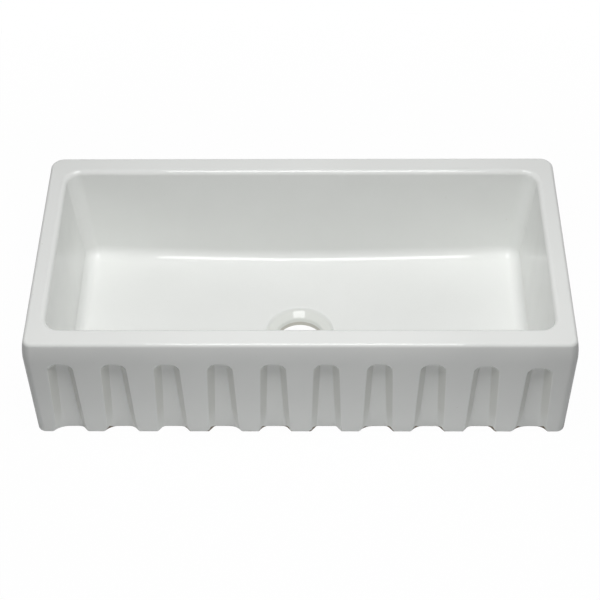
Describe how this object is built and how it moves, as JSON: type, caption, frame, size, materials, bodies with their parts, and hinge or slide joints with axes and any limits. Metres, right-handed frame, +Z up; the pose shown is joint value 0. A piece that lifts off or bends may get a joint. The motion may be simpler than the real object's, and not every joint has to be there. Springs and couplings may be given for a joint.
{
  "type": "apron-front kitchen sink",
  "caption": "Rectangular apron-front kitchen sink in white glazed fireclay, with a single deep bowl, a dished drain hole and upright flutes down the apron.",
  "frame": {"origin": "middle of the underside", "axes": "+X to the right along the apron, +Y from the apron to the back, +Z up out of the bowl"},
  "size_m": [0.914, 0.457, 0.229],
  "materials": {
    "glaze": "white gloss glaze fired over fireclay"
  },
  "bodies": {
    "root": {"sink_body": "glaze"}
  },
  "joints": []
}
